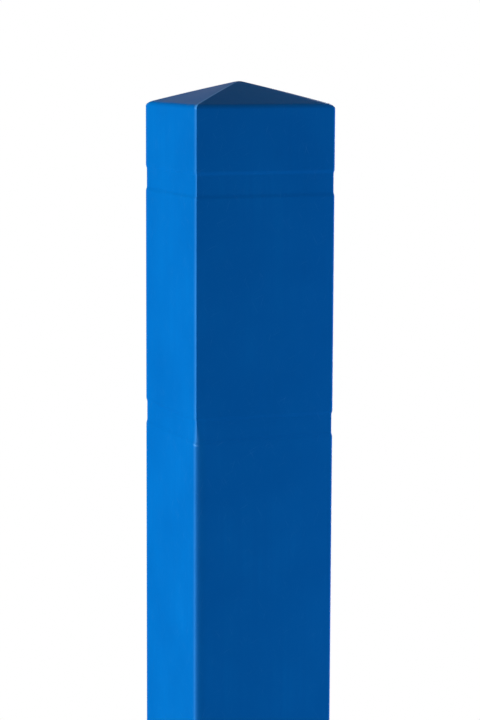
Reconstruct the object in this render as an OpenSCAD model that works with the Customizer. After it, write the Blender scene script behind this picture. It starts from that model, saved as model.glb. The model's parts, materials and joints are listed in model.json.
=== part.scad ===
// Square bollard cover sleeve: a one-piece moulded shell with a low four-sided roof and two
// recessed tape bands, lined with self-adhesive foam strips that grip the bollard.
// Millimetres, +Z up, origin at the middle of the base rim.

/* [Shell] */
// Width across two opposite faces, outside
side = 186; // [140:1:260]
// Height from the base rim to the crown of the roof
height = 1320; // [950:5:1800]
// Thickness of the moulded wall
wall = 3.2; // [2.4:0.1:6]
// Radius of the upright corners, outside
corner_r = 3.2; // [2.5:0.1:12]
// Radius of the upright corners, inside
inner_corner_r = 4; // [1.5:0.1:12]

/* [Roof] */
// Slope of the four roof faces, in degrees
roof_pitch = 17; // [8:1:35]
// Radius of the edge where a wall turns into the roof, outside
eave_r = 7; // [2:0.1:14]
// Radius of the same edge, inside
inner_eave_r = 3.8; // [1:0.1:10]
// Radius that rounds off the crown
crown_r = 20; // [8:1:40]

/* [Tape bands] */
// Height of a band's flat floor
band_h = 25.4; // [15:0.1:60]
// Height of the sloped edge above and below the floor
band_ramp = 3; // [1:0.1:6]
// Depth of the floor below the wall's face
band_depth = 1.2; // [0.4:0.1:1.6]
// Drop from the roof edge to the middle of the upper band
band_drop = 97.5; // [60:0.5:160]
// Distance between the middles of the two bands
band_pitch = 304.8; // [150:0.1:400]

/* [Foam strips] */
// Thickness of a strip, which takes up the room between shell and bollard
foam_t = 5.5; // [2:0.1:12]
// Width of a strip
foam_w = 38; // [15:1:80]
// Length of a strip
foam_l = 240; // [100:1:260]
// Height of the lower strips' ends above the base rim
foam_lift = 40; // [10:1:150]

/* [Hidden] */
$fn = 64;

// Extra reach of a cut past the face that it opens
overrun = 1;
// Straight steps in each rounded edge of the roof
arc_steps = 8;

// The four walls in turn from +X, and the two levels of the foam strips
walls = ["right", "back", "left", "front"];
levels = ["upper", "lower"];

half = side / 2;
eave_z = height - half * tan(roof_pitch) + crown_r * crown_loss_share();
upper_band_z = eave_z - band_drop;
lower_band_z = upper_band_z - band_pitch;

inner_half = half - wall;
inner_eave_z = eave_z - wall * (1 / cos(roof_pitch) - tan(roof_pitch));
inner_crown_r = max(crown_r - wall, overrun);

// The bands follow the upright corners, so their floor has a corner of its own
floor_r = max(corner_r - band_depth, overrun);
floor_axis = half - band_depth - floor_r;

function strip_name(level, face) = str("foam_strip_", level, "_", face);

// Height that a rounded crown loses against a sharp one, for a radius of one
function crown_loss_share() = 1 / cos(roof_pitch) - 1;

function arc(x, z, r, from, to) =
    [for (i = [0:arc_steps]) let (a = from + (to - from) * i / arc_steps) [x + r * cos(a), z + r * sin(a)]];

// Elevation of a wall, its rounded eave and the rounded crown, mirrored about the middle
function elevation(half_w, low_z, eave, edge_r, top_r) =
    let (edge_z = eave + edge_r * (tan(roof_pitch) - 1 / cos(roof_pitch)))
    let (top_z = eave + half_w * tan(roof_pitch) - top_r / cos(roof_pitch))
    concat(
        [[-half_w, low_z], [half_w, low_z]],
        arc(half_w - edge_r, edge_z, edge_r, 0, 90 - roof_pitch),
        arc(0, top_z, top_r, 90 - roof_pitch, 90 + roof_pitch),
        arc(edge_r - half_w, edge_z, edge_r, 90 + roof_pitch, 180)
    );

module rounded_square(half_w, r) {
    square([2 * half_w, 2 * (half_w - r)], center = true);
    square([2 * (half_w - r), 2 * half_w], center = true);
    for (x = [-1, 1], y = [-1, 1])
        translate([x * (half_w - r), y * (half_w - r)]) circle(r);
}

module gable(half_w, low_z, eave, edge_r, top_r) {
    rotate([90, 0, 0])
        linear_extrude(2 * (half_w + overrun), center = true)
            polygon(elevation(half_w, low_z, eave, edge_r, top_r));
}

// A square post with rounded corners under a low roof: the shell's outside, or the hollow in it
module roofed_post(half_w, r, low_z, eave, edge_r, top_r) {
    intersection() {
        translate([0, 0, low_z]) linear_extrude(height - low_z + overrun) rounded_square(half_w, r);
        gable(half_w, low_z, eave, edge_r, top_r);
        rotate(90) gable(half_w, low_z, eave, edge_r, top_r);
    }
}

// Cross-section of a band's cut, with X out from the axis of the corner that it goes round
module band_profile() {
    reach = floor_r + band_depth + overrun;
    rise = band_h / 2 + band_ramp * (band_depth + overrun) / band_depth;
    polygon([[floor_r, -band_h / 2], [reach, -rise], [reach, rise], [floor_r, band_h / 2]]);
}

module band_cut(mid_z) {
    translate([0, 0, mid_z])
        for (turn = [0:90:270])
            rotate(turn) {
                translate([floor_axis, 0, 0])
                    rotate([90, 0, 0]) linear_extrude(2 * floor_axis, center = true) band_profile();
                translate([floor_axis, floor_axis, 0]) rotate_extrude(angle = 90) band_profile();
            }
}

module sleeve_shell() {
    color("#0a6cbe")
        difference() {
            roofed_post(half, corner_r, 0, eave_z, eave_r, crown_r);
            roofed_post(inner_half, inner_corner_r, -overrun, inner_eave_z, inner_eave_r, inner_crown_r);
            band_cut(upper_band_z);
            band_cut(lower_band_z);
        }
}

// A strip lies flat on its wall: the upper ones midway between the bands, the lower ones by the base
module foam_strip(level, turn) {
    mid_z = level == "upper" ? upper_band_z - band_pitch / 2 : foam_lift + foam_l / 2;
    color("#3b3d40")
        rotate(turn)
            translate([inner_half - foam_t / 2, 0, mid_z])
                cube([foam_t, foam_w, foam_l], center = true);
}

sleeve_shell();
for (level = levels, i = [0:len(walls) - 1])
    foam_strip(level, 90 * i);
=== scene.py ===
import json
import math

import bmesh
import bpy
from mathutils import Matrix, Vector


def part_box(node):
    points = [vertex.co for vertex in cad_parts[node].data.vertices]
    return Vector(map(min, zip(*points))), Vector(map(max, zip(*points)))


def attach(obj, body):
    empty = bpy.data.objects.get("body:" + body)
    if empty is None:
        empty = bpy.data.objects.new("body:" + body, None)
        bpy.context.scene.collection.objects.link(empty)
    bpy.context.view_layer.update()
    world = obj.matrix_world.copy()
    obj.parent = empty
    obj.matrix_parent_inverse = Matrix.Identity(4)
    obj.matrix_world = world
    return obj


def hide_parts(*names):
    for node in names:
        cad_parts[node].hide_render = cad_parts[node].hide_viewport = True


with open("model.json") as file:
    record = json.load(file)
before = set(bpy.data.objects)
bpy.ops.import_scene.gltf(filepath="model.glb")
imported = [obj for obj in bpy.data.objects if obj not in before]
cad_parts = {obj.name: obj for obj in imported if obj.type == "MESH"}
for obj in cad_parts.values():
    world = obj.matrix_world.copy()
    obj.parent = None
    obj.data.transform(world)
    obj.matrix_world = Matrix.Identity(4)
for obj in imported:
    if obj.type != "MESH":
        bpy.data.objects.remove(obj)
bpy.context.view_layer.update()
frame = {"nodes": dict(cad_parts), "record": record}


# Camera: a long lens a little above the crown, turned towards the corner between the front and left
# faces. The base of the sleeve lies below the lower edge of the picture.
mm = 0.001
picture_rows = 720
focal_rows = 2277
sensor_w = 36
view_turn = math.radians(21.91)
view_drop = math.radians(7.974)
view_roll = math.radians(0.219)
view_offset = Vector((2.6, -2900.1, 1370.1)) * mm

lens = bpy.data.cameras.new("studio_camera")
lens.sensor_width = sensor_w
lens.lens = sensor_w * focal_rows / picture_rows
camera = bpy.data.objects.new("studio_camera", lens)
bpy.context.scene.collection.objects.link(camera)
camera.matrix_world = (
    Matrix.Rotation(-view_turn, 4, "Z")
    @ Matrix.Translation(view_offset)
    @ Matrix.Rotation(math.radians(90) - view_drop, 4, "X")
    @ Matrix.Rotation(view_roll, 4, "Z")
)
bpy.context.scene.camera = camera
bpy.context.scene.view_settings.view_transform = "Standard"


# Sleeve shell: one hollow square post of polyethylene, rotationally moulded in one go with its roof
# and its two recessed tape bands, then sawn off square at the base. It drops over the bollard.
half_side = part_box("sleeve_shell")[1].x
crown_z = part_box("sleeve_shell")[1].z
mounts = {mount["name"]: Vector(mount["pos_m"]) for mount in frame["record"]["mounts"]}
# The rim's mount lies halfway through the front wall, and a band's mount lies on its floor
wall_t = 2 * (half_side + mounts["base_rim"].y)
band_depth = half_side + mounts["tape_band_lower"].y
lower_band_z = mounts["tape_band_lower"].z
upper_band_z = mounts["tape_band_upper"].z
band_h = 25.4 * mm
band_ramp = 3 * mm
roof_pitch = math.radians(17)
eave_r = 7 * mm
crown_r = 20 * mm
corner_r = 3.2 * mm
inner_corner_r = 4 * mm
inner_eave_r = 3.8 * mm
rim_edge = 0.6 * mm
# The crown is rounded off, so it lies below the point where the roof's faces would meet
eave_z = crown_z - half_side * math.tan(roof_pitch) + crown_r * (1 / math.cos(roof_pitch) - 1)
inner_half = half_side - wall_t
inner_eave_z = eave_z - wall_t * (1 / math.cos(roof_pitch) - math.tan(roof_pitch))

# The ends of a band's ramps are rounded, so a ramp takes twice the height of a straight one
soft_ramp = 2 * band_ramp
ramp_offset = (band_h + band_ramp) / 2
lip_h = 4 * mm
# Half heights of a band at its floor, at the ends of its ramps and at the lips beyond them
floor_half = ramp_offset - soft_ramp / 2
ramp_half = ramp_offset + soft_ramp / 2
lip_half = ramp_half + lip_h

# The roof's hips are rounder at the eave than at the crown, and its faces swell a little. Near the
# crown the corners take up nearly all of a ring.
hip_foot_r = 14 * mm
hip_top_r = 3 * mm
most_round = 0.98
roof_swell = 0.4 * mm

# The mould's halves meet on two opposite corners. Such a seam corner has one radius along X and one
# along Y: it is crisp above the lower band and runs out softly along the front and back below it.
crisp_corner = Vector((1.5, 1.5)) * mm
soft_corner = Vector((13, 4.2)) * mm
least_r = 0.4 * mm

# The walls bowed slowly in and out as they cooled, each in its own rhythm, and run true at the eave
wall_bow = 0.3 * mm
bow_length = 410 * mm
bow_shift = Vector((1.7, 2.9, 0))
bow_fade = bow_length / 4

# Rubbing of the corners by height, and how far it reaches round them. It is partly real wear and partly a
# painted highlight on the lit side of the corners, along the hips and at the lower band's lip.
# The left and right faces catch it more than the front and back, and the seam corners more than the plain
# ones.
foot_wear = 0.22
lip_wear = 1
wall_wear = 0.4
# Along the hips the rubbing is mostly a painted highlight
roof_wear = 1.6
lip_wear_reach = 1.3 * mm
wear_reach = 0.05
wear_start = 0.6
plain_wear = 0.3
# Share of the duller tone where sun and rain fall on the roof, partly weathering and partly painted shade
roof_weather = 0.6

# Steps of the mesh round a corner, along a face and up the shell
corner_steps = 8
face_cuts = 13
ramp_steps = 8
wall_step = 20 * mm
inner_step = 60 * mm
eave_steps = 9
slope_steps = 14
crown_steps = 6
merge_gap = 0.01 * mm


def smooth_step(share):
    """A share from 0 to 1 that starts and ends gently."""
    share = min(max(share, 0), 1)
    return share * share * (3 - 2 * share)


def passed(z, mid_z, run):
    """How far a height has passed another one, from 0 to 1 over a run with that one in its middle."""
    return smooth_step((z - mid_z) / run + 0.5)


def band_inset(z):
    """How deep the bands set the wall's face back at a height."""
    share = 0
    for mid_z in (lower_band_z, upper_band_z):
        share += passed(z, mid_z - ramp_offset, soft_ramp) - passed(z, mid_z + ramp_offset, soft_ramp)
    return band_depth * share


def seam_gain(z):
    """What a seam corner's two radii have over a plain corner's at a height."""
    share = passed(z, lower_band_z, band_h)
    return soft_corner.lerp(crisp_corner, share) - Vector((corner_r, corner_r))


def corner_wear(z):
    """Rubbing and painted highlight at a height: most where the lower edge of the lower band stands out,
    where it is a painted highlight, and least below that.
    """
    lip_z = lower_band_z - ramp_half
    if abs(z - lip_z) < lip_wear_reach:
        return lip_wear
    return foot_wear if z < lip_z else wall_wear


def roof_rows(half_w, edge_eave_z, edge_r, top_r, wall_r):
    """Height, half width and corner radius of each ring from the top of a wall to the crown."""
    slope = math.tan(roof_pitch)
    edge_z = edge_eave_z + edge_r * (slope - 1 / math.cos(roof_pitch))
    peak_z = edge_eave_z + half_w * slope - top_r / math.cos(roof_pitch)
    rows = []
    for i in range(eave_steps + 1):
        share = i / eave_steps
        angle = (math.pi / 2 - roof_pitch) * share
        ring_w = half_w - edge_r * (1 - math.cos(angle))
        ring_r = wall_r + (hip_foot_r - wall_r) * smooth_step(share)
        rows.append((edge_z + edge_r * math.sin(angle), ring_w, ring_r))
    last_z, last_w = rows[-1][:2]
    crown_w = top_r * math.sin(roof_pitch)
    for i in range(1, slope_steps + 1):
        ring_w = last_w + (crown_w - last_w) * i / slope_steps
        ring_r = hip_top_r + (hip_foot_r - hip_top_r) * ring_w / half_w
        swell = roof_swell * math.sin(math.pi * i / slope_steps)
        ring_z = last_z + (last_w - ring_w) * slope + swell
        rows.append((ring_z, ring_w, min(ring_r, most_round * ring_w)))
    for i in range(1, crown_steps + 1):
        angle = roof_pitch * (1 - i / crown_steps)
        ring_w = top_r * math.sin(angle)
        rows.append((peak_z + top_r * math.cos(angle), ring_w, most_round * ring_w))
    return rows


# The base ring is a square with rounded corners and points along its sides
shell_bm = bmesh.new()
core = shell_bm.verts.layers.float_vector.new("core")
outward = shell_bm.verts.layers.float_vector.new("outward")
edge_wear = shell_bm.verts.layers.float.new("edge_wear")
weathering = shell_bm.verts.layers.float.new("weathering")
bmesh.ops.create_grid(shell_bm, x_segments=1, y_segments=1, size=half_side)
bmesh.ops.bevel(
    shell_bm, geom=shell_bm.verts[:], offset=corner_r, offset_type="OFFSET", affect="VERTICES",
    segments=corner_steps, profile=0.5, material=-1,
)
bmesh.ops.subdivide_edges(
    shell_bm, edges=[edge for edge in shell_bm.edges if edge.calc_length() > half_side], cuts=face_cuts,
)
bmesh.ops.delete(shell_bm, geom=shell_bm.faces[:], context="FACES_ONLY")

# Each of its points knows its place on the square's core and its way out from there, so that a ring of
# any width and corner radius follows from the two
core_half = half_side - corner_r
for vert in shell_bm.verts:
    inside = Vector([min(max(place, -core_half), core_half) for place in vert.co])
    vert[outward] = (vert.co - inside).normalized()
    # The points of a face crowd towards its corners
    vert[core] = [math.copysign(1 - (1 - abs(place) / core_half) ** 2, place) for place in inside]


def set_on_ring(vert, z, half_w, ring_r, gain=(0, 0), bow=0, wear=0, weather=0):
    """Moves a point to its place on a ring, and notes its share of rubbing and painted highlight, and of
    weathering and painted shade, there.
    """
    out = vert[outward]
    # This is 1 at a seam corner, -1 at a plain one and 0 in the middle of a face
    diagonal = vert[core].x * vert[core].y
    seam_share = (1 + diagonal) / 2
    wave = math.sin(2 * math.pi * z / bow_length + out.dot(bow_shift))
    for axis in (0, 1):
        round_r = max(ring_r + gain[axis] * seam_share, min(ring_r, least_r))
        reach = round_r + bow * wave * (1 - diagonal ** 2)
        vert.co[axis] = vert[core][axis] * (half_w - round_r) + out[axis] * reach
    vert.co.z = z
    # The rubbing and painted highlight lie on the side of a corner that faces left or right, where the
    # corner catches the light
    closeness = max(1 - (1 - abs(diagonal)) / wear_reach, 0)
    on_side = smooth_step((abs(out.x) - wear_start) / (1 - wear_start))
    vert[edge_wear] = wear * closeness * on_side * (plain_wear + (1 - plain_wear) * seam_share)
    # The roof's front and back faces are painted duller than its sides, as painted shade
    vert[weathering] = weather * out.y ** 2


def next_ring(ring, *place, **finish):
    """Draws the shell on from one ring to the next, and gives the new ring's edges."""
    made = bmesh.ops.extrude_edge_only(shell_bm, edges=ring)["geom"]
    verts = {item for item in made if isinstance(item, bmesh.types.BMVert)}
    for vert in verts:
        set_on_ring(vert, *place, **finish)
    return [item for item in made if isinstance(item, bmesh.types.BMEdge) and verts.issuperset(item.verts)]


def close_ring(ring):
    """Draws the last ring together at the crown."""
    verts = list(dict.fromkeys(vert for edge in ring for vert in edge.verts))
    bmesh.ops.pointmerge(shell_bm, verts=verts, merge_co=(0, 0, verts[0].co.z))


# The outside, from the base up: plain wall, then a lip, a ramp, the floor, a ramp and a lip at each band
for vert in shell_bm.verts:
    set_on_ring(vert, rim_edge, half_side, corner_r, seam_gain(rim_edge), wear=foot_wear)
base_ring = shell_bm.edges[:]
outer_roof = roof_rows(half_side, eave_z, eave_r, crown_r, corner_r)
wall_top = outer_roof[0][0]
stops = [rim_edge]
for mid_z in (lower_band_z, upper_band_z):
    stops += [mid_z - half for half in (lip_half, ramp_half, floor_half)]
    stops += [mid_z + half for half in (floor_half, ramp_half, lip_half)]
stops.append(wall_top)
ring = base_ring
for low_z, high_z in zip(stops, stops[1:]):
    run = high_z - low_z
    # Only the lips and ramps are shorter than half a floor, and they take fine steps
    steps = ramp_steps if run < floor_half else math.ceil(run / wall_step)
    for i in range(1, steps + 1):
        z = low_z + run * i / steps
        inset = band_inset(z)
        bow = wall_bow * smooth_step((wall_top - z) / bow_fade)
        ring = next_ring(
            ring, z, half_side - inset, corner_r - inset, seam_gain(z), bow=bow, wear=corner_wear(z)
        )
for z, ring_w, ring_r in outer_roof[1:]:
    seam_r = hip_top_r + (crisp_corner.x - hip_top_r) * ring_w / half_side
    seam_loss = min(seam_r - ring_r, 0)
    weather = roof_weather * smooth_step((z - wall_top) / eave_r)
    ring = next_ring(
        ring, z, ring_w, ring_r, (seam_loss, seam_loss), wear=roof_wear, weather=weather
    )
close_ring(ring)

# The sawn rim, then the inside, which is straight behind the bands
ring = next_ring(base_ring, 0, half_side - rim_edge, corner_r - rim_edge, seam_gain(0))
ring = next_ring(ring, 0, inner_half + rim_edge, inner_corner_r + rim_edge)
inner_roof = roof_rows(inner_half, inner_eave_z, inner_eave_r, crown_r - wall_t, inner_corner_r)
inner_top = inner_roof[0][0]
inner_steps = math.ceil(inner_top / inner_step)
for i in range(inner_steps):
    z = rim_edge + (inner_top - rim_edge) * i / inner_steps
    ring = next_ring(ring, z, inner_half, inner_corner_r)
for row in inner_roof:
    ring = next_ring(ring, *row)
close_ring(ring)
bmesh.ops.remove_doubles(shell_bm, verts=shell_bm.verts[:], dist=merge_gap)
bmesh.ops.recalc_face_normals(shell_bm, faces=shell_bm.faces[:])
for face in shell_bm.faces:
    face.smooth = True
# The finished shell keeps only its marks of rubbing and painted highlight, and of weather and painted shade
ring_layers = shell_bm.verts.layers.float_vector
for layer_name in ("core", "outward"):
    ring_layers.remove(ring_layers[layer_name])


def piece_from(bm, name):
    """Makes a finished bmesh into a piece of the scene."""
    mesh = bpy.data.meshes.new(name)
    bm.to_mesh(mesh)
    bm.free()
    piece = bpy.data.objects.new(name, mesh)
    bpy.context.scene.collection.objects.link(piece)
    return piece


shell = piece_from(shell_bm, "moulded_shell")
shell.modifiers.new("flat_faces_shade_flat", "WEIGHTED_NORMAL")


def linear(hex_code):
    """An sRGB hex colour as linear red, green, blue and alpha."""
    parts = [int(hex_code[i:i + 2], 16) / 255 for i in (0, 2, 4)]
    return [part / 12.92 if part <= 0.04045 else ((part + 0.055) / 1.055) ** 2.4 for part in parts] + [1.0]


def new_finish(name):
    """A new material, its node tree and its Principled shader."""
    finish = bpy.data.materials.new(name)
    finish.use_nodes = True
    return finish, finish.node_tree, finish.node_tree.nodes["Principled BSDF"]


def set_inputs(tree, node, inputs):
    """Sets a node's inputs by name or number, or links them to the outputs given for them."""
    for socket, value in inputs.items():
        if isinstance(value, bpy.types.NodeSocket):
            tree.links.new(value, node.inputs[socket])
        else:
            node.inputs[socket].default_value = value


def add_node(tree, kind, inputs=None, output=0, **settings):
    """Adds a node with its settings and inputs, and gives one of its outputs."""
    node = tree.nodes.new(kind)
    for name, value in settings.items():
        setattr(node, name, value)
    set_inputs(tree, node, inputs or {})
    return node.outputs[output]


# Rotationally moulded polyethylene: satin blue all through, with a soft orange-peel skin, slow clouds
# of tone from the powder and faint upright streaks from drawing out of the mould. Use gives it paler
# rubbed edges, hairline scratches and a duller roof. The paler edges are partly a painted highlight, and
# the duller roof is partly painted shade on its front and back faces.
blue = "0065b4"
deep_blue = "005ca9"
pale_blue = "0070c0"
rubbed_highlight_blue = "4a94d8"
weathered_blue = "1b659b"
cloud_size = 110 * mm
streak_w = 7 * mm
streak_l = 420 * mm
streak_strength = 0.6
# Real hairline scratches are about 0.2 mm wide and are drawn wider so that they show
scratch_w = 0.7 * mm
scratch_l = 34 * mm
# They lean three ways, in radians from upright
scratch_leans = (0.5, -0.3, -1.1)
scratch_strength = 0.3
# The real peel is about 1 mm across and is drawn coarser so that it shows
peel_size = 3.2 * mm
peel_height = 0.05 * mm
peel_strength = 0.5
least_patch_share = 0.6
least_rough, most_rough = 0.38, 0.48
polyethylene_ior = 1.51
polyethylene_specular = 0.021
# A noise has most of its values in its middle, nearly all in its spread and only a few on its peaks
middle_low, middle_high = 0.35, 0.65
spread_low, spread_high = 0.3, 0.7
peaks_low, peaks_high = 0.77, 0.87
# A Mix node's colour sockets go by number, because their names repeat
share_in, first_in, second_in, mix_out = 0, 6, 7, 2

polyethylene, shell_tree, shell_skin = new_finish("rotomoulded_polyethylene")
on_shell = add_node(shell_tree, "ShaderNodeTexCoord", output="Object")
cloud = add_node(
    shell_tree, "ShaderNodeTexNoise", {"Vector": on_shell, "Scale": 1 / cloud_size, "Detail": 3.0}
)
clouded = add_node(
    shell_tree, "ShaderNodeMix",
    {share_in: cloud, first_in: linear(deep_blue), second_in: linear(pale_blue)}, mix_out, data_type="RGBA",
)
drawn_out = add_node(
    shell_tree, "ShaderNodeMapping", {"Vector": on_shell, "Scale": (1, 1, streak_w / streak_l)}
)
streak = add_node(
    shell_tree, "ShaderNodeTexNoise", {"Vector": drawn_out, "Scale": 1 / streak_w, "Detail": 3.0}
)
streak_share = add_node(
    shell_tree, "ShaderNodeMapRange",
    {"Value": streak, "From Min": middle_low, "From Max": middle_high, "To Max": streak_strength},
)
streaked = add_node(
    shell_tree, "ShaderNodeMix",
    {share_in: streak_share, first_in: clouded, second_in: linear(blue)}, mix_out, data_type="RGBA",
)

# The clouds make the weathering with its painted shade, and the rubbing with its painted highlight, patchy
patchy = add_node(
    shell_tree, "ShaderNodeMapRange",
    {"Value": cloud, "From Min": middle_low, "From Max": middle_high, "To Min": least_patch_share},
)
# Duller roof: weathering, and painted shade on the roof's front and back faces
weather_mark = add_node(shell_tree, "ShaderNodeAttribute", output="Fac", attribute_name="weathering")
weather_share = add_node(
    shell_tree, "ShaderNodeMath", {0: weather_mark, 1: patchy}, operation="MULTIPLY"
)
weathered = add_node(
    shell_tree, "ShaderNodeMix",
    {share_in: weather_share, first_in: streaked, second_in: linear(weathered_blue)}, mix_out,
    data_type="RGBA",
)

# The scratches lie flat on each wall, so they are drawn by the way round the sleeve and the way up it
way_round = add_node(
    shell_tree, "ShaderNodeVectorMath", {0: on_shell, 1: (1, 1, 0)}, "Value", operation="DOT_PRODUCT"
)
way_up = add_node(
    shell_tree, "ShaderNodeVectorMath", {0: on_shell, 1: (0, 0, 1)}, "Value", operation="DOT_PRODUCT"
)
unrolled = add_node(shell_tree, "ShaderNodeCombineXYZ", {"X": way_round, "Y": way_up})
scratched = weathered
for lean in scratch_leans:
    leaning = add_node(
        shell_tree, "ShaderNodeMapping",
        {"Vector": unrolled, "Rotation": (0, 0, lean), "Scale": (scratch_w, scratch_l, 1)},
        vector_type="TEXTURE",
    )
    scratch = add_node(
        shell_tree, "ShaderNodeTexNoise", {"Vector": leaning, "Scale": 1.0, "Detail": 1.0},
        noise_dimensions="2D",
    )
    scratch_share = add_node(
        shell_tree, "ShaderNodeMapRange",
        {"Value": scratch, "From Min": peaks_low, "From Max": peaks_high, "To Max": scratch_strength},
    )
    scratched = add_node(
        shell_tree, "ShaderNodeMix",
        {share_in: scratch_share, first_in: scratched, second_in: linear(rubbed_highlight_blue)}, mix_out,
        data_type="RGBA",
    )

# Paler corners: real rubbing, and a painted highlight along the lit side of the corners, the hips and the
# lower band's lip
wear_mark = add_node(shell_tree, "ShaderNodeAttribute", output="Fac", attribute_name="edge_wear")
wear_share = add_node(shell_tree, "ShaderNodeMath", {0: wear_mark, 1: patchy}, operation="MULTIPLY")
rubbed_and_highlit = add_node(
    shell_tree, "ShaderNodeMix",
    {share_in: wear_share, first_in: scratched, second_in: linear(rubbed_highlight_blue)}, mix_out, data_type="RGBA",
)
peel = add_node(
    shell_tree, "ShaderNodeTexNoise", {"Vector": on_shell, "Scale": 1 / peel_size, "Detail": 2.0}
)
peel_relief = add_node(
    shell_tree, "ShaderNodeBump", {"Height": peel, "Strength": peel_strength, "Distance": peel_height}
)
satin = add_node(
    shell_tree, "ShaderNodeMapRange",
    {
        "Value": cloud, "From Min": spread_low, "From Max": spread_high,
        "To Min": least_rough, "To Max": most_rough,
    },
)
set_inputs(shell_tree, shell_skin, {
    "Base Color": rubbed_and_highlit,
    "Roughness": satin,
    "Normal": peel_relief,
    "IOR": polyethylene_ior,
    "Specular IOR Level": polyethylene_specular,
})
shell.data.materials.append(polyethylene)
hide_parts("sleeve_shell")
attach(shell, "root")


# Foam strips: eight lengths of black closed-cell foam with a self-adhesive back, die-cut and pressed
# on to the inside walls, four between the bands and four near the base, where they grip the bollard.
foam_edge_r = 1.1 * mm
film_t = 0.4 * mm
foam_across = 8
foam_along = 40
foam_layers = 3
foam_edge_steps = 3
sharp_angle = math.radians(45)
# The top falls away towards the edges and ripples, and the sides draw in at half their height. The
# higher a power is, across or along the strip, the nearer to the edge its form stays.
foam_fall = 1 / 3 * mm
fall_power = Vector((2, 8))
foam_waist = 0.45 * mm
waist_power = Vector((5, 21))
foam_ripple = 0.4 / 3 * mm
ripple_turn = Vector((2.2, 9))
# Each strip's ripple starts further on than that of the one before
ripple_start = Vector((1, 1.3))


def shape_foam(vert, size, number):
    """Moves a point of a plain block, lying on its film, to where the cut foam has it."""
    across = 2 * vert.co.x / size.x
    along = 2 * vert.co.y / size.y
    up = vert.co.z / size.z
    start = number * ripple_start
    ripple = math.sin(ripple_turn.x * across + start.x) * math.sin(ripple_turn.y * along + start.y)
    fall = foam_fall * (across ** fall_power.x + along ** fall_power.y) / 2
    waist = foam_waist * 4 * up * (1 - up)
    vert.co.z -= up * (fall + foam_ripple * (1 + ripple))
    vert.co.x -= waist * across ** waist_power.x
    vert.co.y -= waist * along ** waist_power.y


def die_cut_strip(node, number):
    """Makes the strip that lies where a node lies, with its adhesive film as a second material."""
    low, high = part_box(node)
    thickness, width = sorted((high.x - low.x, high.y - low.y))
    size = Vector((width, high.z - low.z, thickness))
    bm = bmesh.new()
    bmesh.ops.create_grid(
        bm, x_segments=foam_across, y_segments=foam_along, size=0.5,
        matrix=Matrix.Diagonal((size.x, size.y, 1, 1)),
    )
    made = bmesh.ops.extrude_face_region(bm, geom=bm.faces[:], use_keep_orig=True)["geom"]
    top = [item for item in made if isinstance(item, bmesh.types.BMVert)]
    bmesh.ops.translate(bm, verts=top, vec=(0, 0, size.z))
    bmesh.ops.recalc_face_normals(bm, faces=bm.faces[:])
    standing = [edge for edge in bm.edges if abs(edge.verts[0].co.z - edge.verts[1].co.z) > size.z / 2]
    bmesh.ops.subdivide_edges(bm, edges=standing, cuts=foam_layers, use_grid_fill=True)
    everything = bm.verts[:] + bm.edges[:] + bm.faces[:]
    bmesh.ops.bisect_plane(bm, geom=everything, plane_co=(0, 0, film_t), plane_no=(0, 0, 1))
    # The edges of the foam are rounded, and those of the film below it stay as cut
    sharp = [
        edge for edge in bm.edges
        if len(edge.link_faces) == 2
        and edge.calc_face_angle() > sharp_angle
        and min(vert.co.z for vert in edge.verts) > film_t / 2
    ]
    bmesh.ops.bevel(
        bm, geom=sharp, offset=foam_edge_r, offset_type="OFFSET", affect="EDGES",
        segments=foam_edge_steps, profile=0.5, material=-1, clamp_overlap=True,
    )
    for vert in bm.verts:
        shape_foam(vert, size, number)
    for face in bm.faces:
        face.smooth = True
        face.material_index = 1 if max(vert.co.z for vert in face.verts) < 2 * film_t else 0
    middle = (low + high) / 2
    to_wall = Vector((middle.x, middle.y, 0)).normalized()
    upwards = Vector((0, 0, 1))
    turned = Matrix((upwards.cross(to_wall), upwards, -to_wall)).transposed().to_4x4()
    on_wall = Matrix.Translation(middle + to_wall * thickness / 2)
    bmesh.ops.transform(bm, matrix=on_wall @ turned, verts=bm.verts[:])
    bmesh.ops.recalc_face_normals(bm, faces=bm.faces[:])
    return piece_from(bm, node.replace("foam_strip", "closed_cell_strip"))


# Closed-cell foam, sliced and die-cut: dull near-black with a grain of cut cells that catch the light, and
# painted shade in their pits
foam_black = "39393b"
foam_pit_shade = "202022"
# The cells are about 0.4 mm across and are drawn coarser so that they show
cell_size = 1.4 * mm
cell_depth = 0.25 * mm
cell_strength = 0.6
pit_floor, pit_edge = 0.1, 0.6
foam_roughness = 0.88
foam_specular = 0.3

foam, foam_tree, foam_skin = new_finish("die_cut_closed_cell_foam")
on_foam = add_node(foam_tree, "ShaderNodeTexCoord", output="Object")
cells = add_node(
    foam_tree, "ShaderNodeTexVoronoi", {"Vector": on_foam, "Scale": 1 / cell_size}, "Distance"
)
cell_share = add_node(
    foam_tree, "ShaderNodeMapRange", {"Value": cells, "From Min": pit_floor, "From Max": pit_edge}
)
# The pits of the cells are painted darker, as painted shade
pit_shaded = add_node(
    foam_tree, "ShaderNodeMix",
    {share_in: cell_share, first_in: linear(foam_pit_shade), second_in: linear(foam_black)}, mix_out,
    data_type="RGBA",
)
cell_relief = add_node(
    foam_tree, "ShaderNodeBump", {"Height": cell_share, "Strength": cell_strength, "Distance": cell_depth}
)
set_inputs(foam_tree, foam_skin, {
    "Base Color": pit_shaded,
    "Normal": cell_relief,
    "Roughness": foam_roughness,
    "Specular IOR Level": foam_specular,
})

# Acrylic adhesive film, rolled on: a thin milky line between the foam and the wall
film_white = "cfd2cc"
film_grey = "a9ada6"
film_patch = 5 * mm
film_roughness = 0.35

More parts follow.
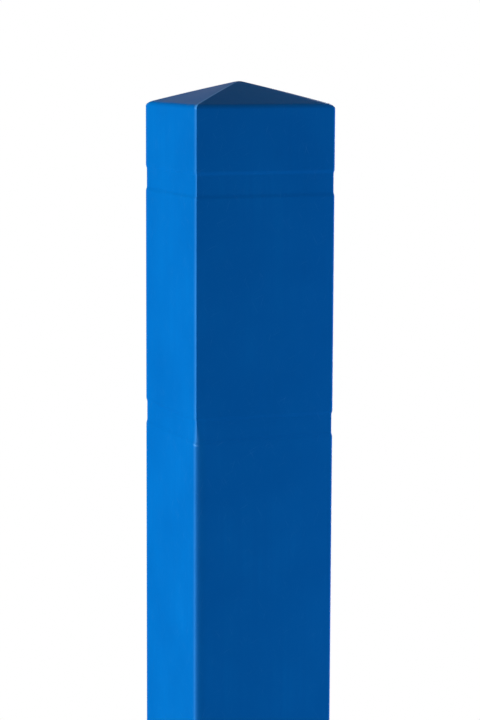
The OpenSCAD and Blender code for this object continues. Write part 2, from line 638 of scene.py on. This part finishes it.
film, film_tree, film_skin = new_finish("acrylic_adhesive_film")
on_film = add_node(film_tree, "ShaderNodeTexCoord", output="Object")
patches = add_node(film_tree, "ShaderNodeTexNoise", {"Vector": on_film, "Scale": 1 / film_patch})
milky = add_node(
    film_tree, "ShaderNodeMix",
    {share_in: patches, first_in: linear(film_grey), second_in: linear(film_white)}, mix_out,
    data_type="RGBA",
)
set_inputs(film_tree, film_skin, {"Base Color": milky, "Roughness": film_roughness})

foam_nodes = sorted(node for node in frame["nodes"] if node.startswith("foam_strip"))
for number, node in enumerate(foam_nodes):
    strip = die_cut_strip(node, number)
    strip.data.materials.append(foam)
    strip.data.materials.append(film)
    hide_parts(node)
    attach(strip, "root")


# Studio floor: a round sheet of white paper under the sleeve, which takes its soft shadow and fades
# out into the white surround. It is open under the base and can't be seen from below, so that the
# inside shows from there.
floor_radius = 1.0
floor_segments = 96
fade_start = 0.25
paper_white = "c9c9c8"
paper_lift = 0.45

floor_bm = bmesh.new()
bmesh.ops.create_circle(
    floor_bm, cap_ends=True, cap_tris=True, segments=floor_segments, radius=floor_radius
)
floor = piece_from(floor_bm, "paper_floor")


def seen_rays(tree):
    """Gives 1 for a ray from the eye, straight or by way of gloss or glass, and 0 for the others."""
    rays = add_node(tree, "ShaderNodeLightPath").node.outputs
    seen = rays["Is Camera Ray"]
    for kind in ("Is Glossy Ray", "Is Transmission Ray"):
        seen = add_node(tree, "ShaderNodeMath", {0: seen, 1: rays[kind]}, operation="ADD", use_clamp=True)
    return seen


# Matt white paper, which shows the eye a little more light than falls on it
paper, paper_tree, paper_skin = new_finish("white_studio_paper")
paper_tree.nodes.remove(paper_skin)
matt = add_node(paper_tree, "ShaderNodeBsdfDiffuse", {"Color": linear(paper_white)})
lift = add_node(
    paper_tree, "ShaderNodeMath", {0: seen_rays(paper_tree), 1: paper_lift}, operation="MULTIPLY"
)
glow = add_node(paper_tree, "ShaderNodeEmission", {"Strength": lift})
sheet = add_node(paper_tree, "ShaderNodeAddShader", {0: matt, 1: glow})
on_floor = add_node(paper_tree, "ShaderNodeTexCoord", output="Object")
from_middle = add_node(paper_tree, "ShaderNodeVectorMath", {0: on_floor}, "Value", operation="LENGTH")
faded = add_node(
    paper_tree, "ShaderNodeMapRange",
    {"Value": from_middle, "From Min": fade_start, "From Max": floor_radius},
    interpolation_type="SMOOTHSTEP",
)
spread = add_node(paper_tree, "ShaderNodeVectorMath", {0: on_floor}, operation="ABSOLUTE")
sides = add_node(paper_tree, "ShaderNodeSeparateXYZ", {0: spread}).node.outputs
widest = add_node(paper_tree, "ShaderNodeMath", {0: sides["X"], 1: sides["Y"]}, operation="MAXIMUM")
under_base = add_node(paper_tree, "ShaderNodeMath", {0: widest, 1: half_side}, operation="LESS_THAN")
back = add_node(paper_tree, "ShaderNodeNewGeometry", output="Backfacing")
straight = add_node(paper_tree, "ShaderNodeLightPath", output="Is Camera Ray")
from_below = add_node(paper_tree, "ShaderNodeMath", {0: back, 1: straight}, operation="MULTIPLY")
hidden = faded
for cause in (under_base, from_below):
    hidden = add_node(paper_tree, "ShaderNodeMath", {0: hidden, 1: cause}, operation="MAXIMUM")
nothing = add_node(paper_tree, "ShaderNodeBsdfTransparent")
open_sheet = add_node(paper_tree, "ShaderNodeMixShader", {0: hidden, 1: sheet, 2: nothing})
set_inputs(paper_tree, paper_tree.nodes["Material Output"], {"Surface": open_sheet})
floor.data.materials.append(paper)


# Studio light: soft boxes beside the left face, before the front, beside the right face and behind,
# and a small one below the hollow. The surround is white to the eye and adds only a little light.
plain_white = "ffffff"
cool_white = "e2eaff"
warm_white = "fff1dc"
ambient_strength = 0.04
felt_black = "161616"
felt_roughness = 0.95


def studio_place(turn, distance, mid_z, tilt):
    """A place at a distance from the sleeve, turned round it from the front and tilted from face down."""
    return (
        Matrix.Rotation(math.radians(turn), 4, "Z")
        @ Matrix.Translation((0, -distance, mid_z))
        @ Matrix.Rotation(math.radians(tilt), 4, "X")
    )


def soft_box(name, turn, distance, mid_z, width, tall, power, tint, tilt=90):
    """Sets up a lamp that lights evenly from a rectangle, by degrees, metres and watts."""
    lamp = bpy.data.lights.new(name, "AREA")
    lamp.shape = "RECTANGLE"
    lamp.size = width
    lamp.size_y = tall
    lamp.energy = power
    lamp.color = linear(tint)[:3]
    stand = bpy.data.objects.new(name, lamp)
    bpy.context.scene.collection.objects.link(stand)
    stand.matrix_world = studio_place(turn, distance, mid_z, tilt)
    stand.visible_camera = False


soft_box("key_box", turn=-93, distance=1.9, mid_z=0.95, width=1.3, tall=1.9, power=54, tint=plain_white)
soft_box("front_box", turn=-15, distance=2.2, mid_z=0.7, width=1.0, tall=1.2, power=14.4, tint=cool_white)
soft_box("right_box", turn=75, distance=1.05, mid_z=0.95, width=0.4, tall=1.9, power=18.5, tint=cool_white)
soft_box("back_box", turn=140, distance=2.2, mid_z=1.0, width=0.8, tall=1.9, power=26, tint=plain_white)
soft_box(
    "under_box", turn=0, distance=0, mid_z=-0.3, width=0.25, tall=0.25, power=1.2,
    tint=plain_white, tilt=180,
)

# Black felt flags keep the white surround out of the gloss of the left face and of the roof
flag_bm = bmesh.new()


def hang_flag(turn, distance, mid_z, width, tall, tilt):
    """Adds one flat flag to the flags' mesh."""
    place = studio_place(turn, distance, mid_z, tilt) @ Matrix.Diagonal((width, tall, 1, 1))
    bmesh.ops.create_grid(flag_bm, x_segments=1, y_segments=1, size=0.5, matrix=place)


hang_flag(turn=-154, distance=1.13, mid_z=0.8, width=1.2, tall=2.6, tilt=90)
hang_flag(turn=165, distance=1.2, mid_z=2.1, width=0.9, tall=1.1, tilt=0)
hang_flag(turn=166, distance=1.19, mid_z=1.65, width=0.03, tall=0.7, tilt=90)
flags = piece_from(flag_bm, "black_flags")
felt, felt_tree, felt_skin = new_finish("black_felt")
set_inputs(felt_tree, felt_skin, {"Base Color": linear(felt_black), "Roughness": felt_roughness})
flags.data.materials.append(felt)
flags.visible_camera = False
flags.visible_diffuse = False
flags.visible_shadow = False

surround = bpy.data.worlds.new("white_surround")
bpy.context.scene.world = surround
surround.use_nodes = True
surround_tree = surround.node_tree
ambient = surround_tree.nodes["Background"]
set_inputs(surround_tree, ambient, {"Color": linear(warm_white), "Strength": ambient_strength})
white = add_node(surround_tree, "ShaderNodeBackground", {"Color": linear(plain_white), "Strength": 1.0})
shown = add_node(
    surround_tree, "ShaderNodeMixShader", {0: seen_rays(surround_tree), 1: ambient.outputs[0], 2: white}
)
set_inputs(surround_tree, surround_tree.nodes["World Output"], {"Surface": shown})
